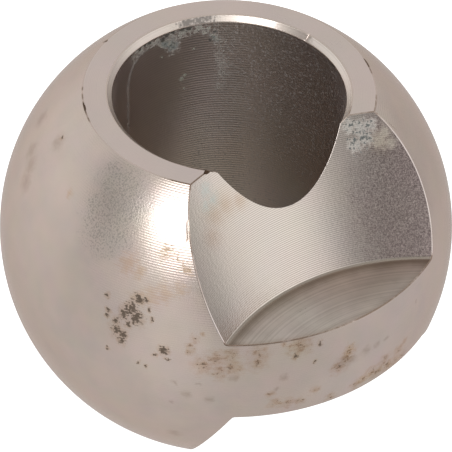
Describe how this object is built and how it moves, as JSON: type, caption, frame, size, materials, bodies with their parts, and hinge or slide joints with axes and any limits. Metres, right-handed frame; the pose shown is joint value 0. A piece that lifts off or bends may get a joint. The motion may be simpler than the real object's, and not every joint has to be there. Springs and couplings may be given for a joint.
{
  "type": "swivel ball",
  "caption": "Turned and plated steel swivel ball with a through bore, flat ends and a spherical tongue left standing between conical relief cuts on one side.",
  "frame": {"origin": "centre of the ball, which is also the middle of its bore and of its overall box", "axes": "+Z along the bore out of the upper flat, +X out through the middle of the tongue, +Y completes a right-handed frame"},
  "size_m": [0.056, 0.056, 0.0436],
  "materials": {
    "plated_steel": "satin"
  },
  "bodies": {
    "root": {"swivel_ball": "plated_steel"}
  },
  "joints": []
}
